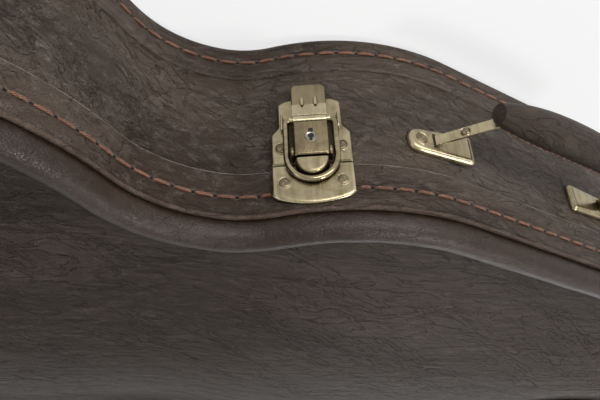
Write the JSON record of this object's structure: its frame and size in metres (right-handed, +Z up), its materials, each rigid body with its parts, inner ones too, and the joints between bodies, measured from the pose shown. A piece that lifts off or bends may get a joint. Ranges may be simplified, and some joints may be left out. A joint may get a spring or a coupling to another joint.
{
  "type": "archtop guitar case",
  "caption": "Hard case for an archtop guitar: wood shells in leatherette, arched padded lid, stitched bands, draw latches, slotted handle and plush lining.",
  "frame": {"origin": "middle of the back face, on the case's long middle line", "axes": "+X along the case towards the tail (lower bout), -Y towards the latches and the handle, +Z up through the lid"},
  "size_m": [1.082, 0.4831, 0.1628],
  "materials": {
    "leatherette": "dark brown creased leatherette over plywood",
    "band_leather": "smooth brown leather with large rust stitches",
    "antique_brass": "brushed antique brass",
    "plush": "short gold plush over padding",
    "grip_leather": "dark brown stitched leather"
  },
  "bodies": {
    "bottom": {"bottom_shell": "leatherette", "back_band": "band_leather", "bottom_lining": "plush", "neck_cradle": "plush", "head_cradle": "plush", "accessory_box": "plush", "tail_latch_base": "antique_brass", "tail_latch_pin": "antique_brass", "waist_latch_base": "antique_brass", "waist_latch_pin": "antique_brass", "neck_latch_base": "antique_brass", "neck_latch_pin": "antique_brass", "head_latch_base": "antique_brass", "head_latch_pin": "antique_brass", "lower_hinge_bottom_leaf": "antique_brass", "lower_hinge_pin": "antique_brass", "upper_hinge_bottom_leaf": "antique_brass", "upper_hinge_pin": "antique_brass", "handle_plate_tail": "antique_brass", "handle_plate_neck": "antique_brass"},
    "lid": {"lid_shell": "leatherette", "lid_band": "band_leather", "shoulder_roll": "leatherette", "lid_lining": "plush", "tail_latch_catch": "antique_brass", "waist_latch_catch": "antique_brass", "neck_latch_catch": "antique_brass", "head_latch_catch": "antique_brass", "lower_hinge_lid_leaf": "antique_brass", "upper_hinge_lid_leaf": "antique_brass"},
    "tail_latch_lever": {"tail_latch_lever": "antique_brass"},
    "tail_latch_loop": {"tail_latch_loop": "antique_brass"},
    "waist_latch_lever": {"waist_latch_lever": "antique_brass"},
    "waist_latch_loop": {"waist_latch_loop": "antique_brass"},
    "neck_latch_lever": {"neck_latch_lever": "antique_brass"},
    "neck_latch_loop": {"neck_latch_loop": "antique_brass"},
    "head_latch_lever": {"head_latch_lever": "antique_brass"},
    "head_latch_loop": {"head_latch_loop": "antique_brass"},
    "lock_cylinder": {"lock_cylinder": "antique_brass"},
    "handle": {"handle_grip": "grip_leather", "handle_tang_tail": "antique_brass", "handle_tang_neck": "antique_brass"},
    "accessory_lid": {"accessory_lid": "plush", "pull_tab": "grip_leather"}
  },
  "joints": [
    {"name": "lid_hinge", "type": "hinge", "parent": "bottom", "child": "lid", "pos_m": [0.33711, 0.23616, 0.098], "axis": [-0.9829, -0.1841, 0], "range_deg": [0, 100]},
    {"name": "tail_latch_lever_pivot", "type": "hinge", "parent": "bottom", "child": "tail_latch_lever", "pos_m": [0.41505, -0.23444, 0.0935], "axis": [-0.9659, -0.2588, 0], "range_deg": [0, 90]},
    {"name": "tail_latch_loop_pivot", "type": "hinge", "parent": "tail_latch_lever", "child": "tail_latch_loop", "pos_m": [0.41471, -0.23319, 0.071], "axis": [-0.9659, -0.2588, 0], "range_deg": [-90, 0]},
    {"name": "waist_latch_lever_pivot", "type": "hinge", "parent": "bottom", "child": "waist_latch_lever", "pos_m": [0.13147, -0.17588, 0.0935], "axis": [-0.9415, -0.3369, 0], "range_deg": [0, 90]},
    {"name": "waist_latch_loop_pivot", "type": "hinge", "parent": "waist_latch_lever", "child": "waist_latch_loop", "pos_m": [0.13103, -0.17466, 0.071], "axis": [-0.9415, -0.3369, 0], "range_deg": [-90, 0]},
    {"name": "neck_latch_lever_pivot", "type": "hinge", "parent": "bottom", "child": "neck_latch_lever", "pos_m": [-0.25898, -0.08457, 0.0935], "axis": [-1, 0, 0], "range_deg": [0, 90]},
    {"name": "neck_latch_loop_pivot", "type": "hinge", "parent": "neck_latch_lever", "child": "neck_latch_loop", "pos_m": [-0.25898, -0.08327, 0.071], "axis": [-1, 0, 0], "range_deg": [-90, 0]},
    {"name": "head_latch_lever_pivot", "type": "hinge", "parent": "bottom", "child": "head_latch_lever", "pos_m": [-0.43124, -0.08457, 0.0935], "axis": [-1, 0, 0], "range_deg": [0, 90]},
    {"name": "head_latch_loop_pivot", "type": "hinge", "parent": "head_latch_lever", "child": "head_latch_loop", "pos_m": [-0.43124, -0.08327, 0.071], "axis": [-1, 0, 0], "range_deg": [-90, 0]},
    {"name": "lock_turn", "type": "hinge", "parent": "waist_latch_lever", "child": "lock_cylinder", "pos_m": [0.13265, -0.17918, 0.086], "axis": [0.3369, -0.9415, 0], "range_deg": [0, 90]},
    {"name": "handle_lift", "type": "slide", "parent": "bottom", "child": "handle", "axis": [-0.2648, -0.9643, 0], "range_m": [0, 0.003]},
    {"name": "accessory_lid_hinge", "type": "hinge", "parent": "bottom", "child": "accessory_lid", "pos_m": [-0.32278, 0, 0.0639], "axis": [0, -1, 0], "range_deg": [0, 80]}
  ],
  "couplings": [
    {"joint": "tail_latch_lever_pivot", "follows": "lid_hinge", "ratio": 0.9},
    {"joint": "tail_latch_loop_pivot", "follows": "lid_hinge", "ratio": -0.9},
    {"joint": "waist_latch_lever_pivot", "follows": "lid_hinge", "ratio": 0.9},
    {"joint": "waist_latch_loop_pivot", "follows": "lid_hinge", "ratio": -0.9},
    {"joint": "neck_latch_lever_pivot", "follows": "lid_hinge", "ratio": 0.9},
    {"joint": "neck_latch_loop_pivot", "follows": "lid_hinge", "ratio": -0.9},
    {"joint": "head_latch_lever_pivot", "follows": "lid_hinge", "ratio": 0.9},
    {"joint": "head_latch_loop_pivot", "follows": "lid_hinge", "ratio": -0.9},
    {"joint": "accessory_lid_hinge", "follows": "lid_hinge", "ratio": 0.8}
  ]
}
